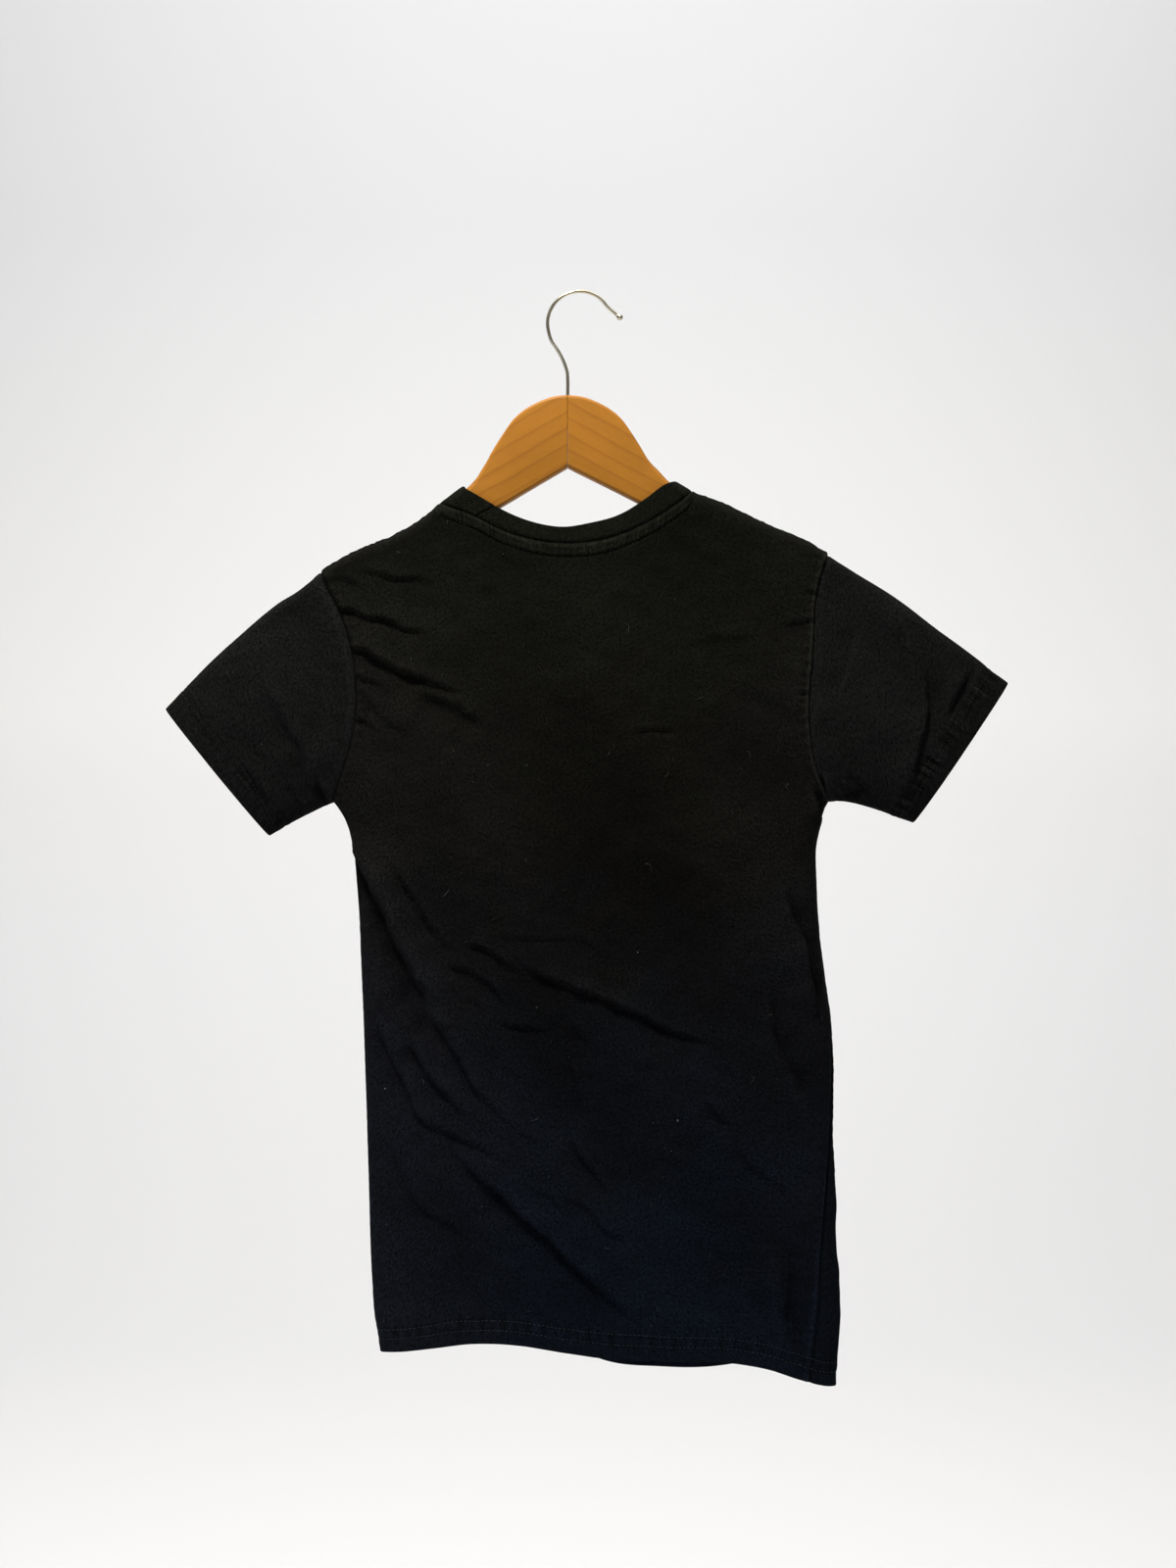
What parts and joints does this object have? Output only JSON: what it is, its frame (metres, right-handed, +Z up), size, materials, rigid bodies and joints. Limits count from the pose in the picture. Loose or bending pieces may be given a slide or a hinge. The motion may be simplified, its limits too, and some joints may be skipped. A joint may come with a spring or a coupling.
{
  "type": "crew neck t-shirt on a wooden hanger",
  "caption": "Short-sleeved crew neck t-shirt in plain black cotton jersey, hanging flat on a small wooden hanger with a wire hook.",
  "frame": {"origin": "the inner top of the hanger's hook, where the hook bears on a rail", "axes": "+Z up along the hanging garment, +X across it towards the right sleeve as seen from the back, +Y out of the garment's front"},
  "size_m": [0.6024, 0.0426, 0.7825],
  "materials": {
    "jersey": "washed black cotton single jersey, matt, with lint",
    "rib": "black cotton rib, matt",
    "hanger_wood": "clear varnish over honey-coloured wood",
    "hook_wire": "bright nickel plate on round wire"
  },
  "bodies": {
    "root": {"back_panel": "jersey", "front_panel": "jersey", "sleeve_left": "jersey", "sleeve_right": "jersey", "neckband": "rib", "hanger_arm_left": "hanger_wood", "hanger_arm_right": "hanger_wood", "hanger_hook": "hook_wire"}
  },
  "joints": []
}
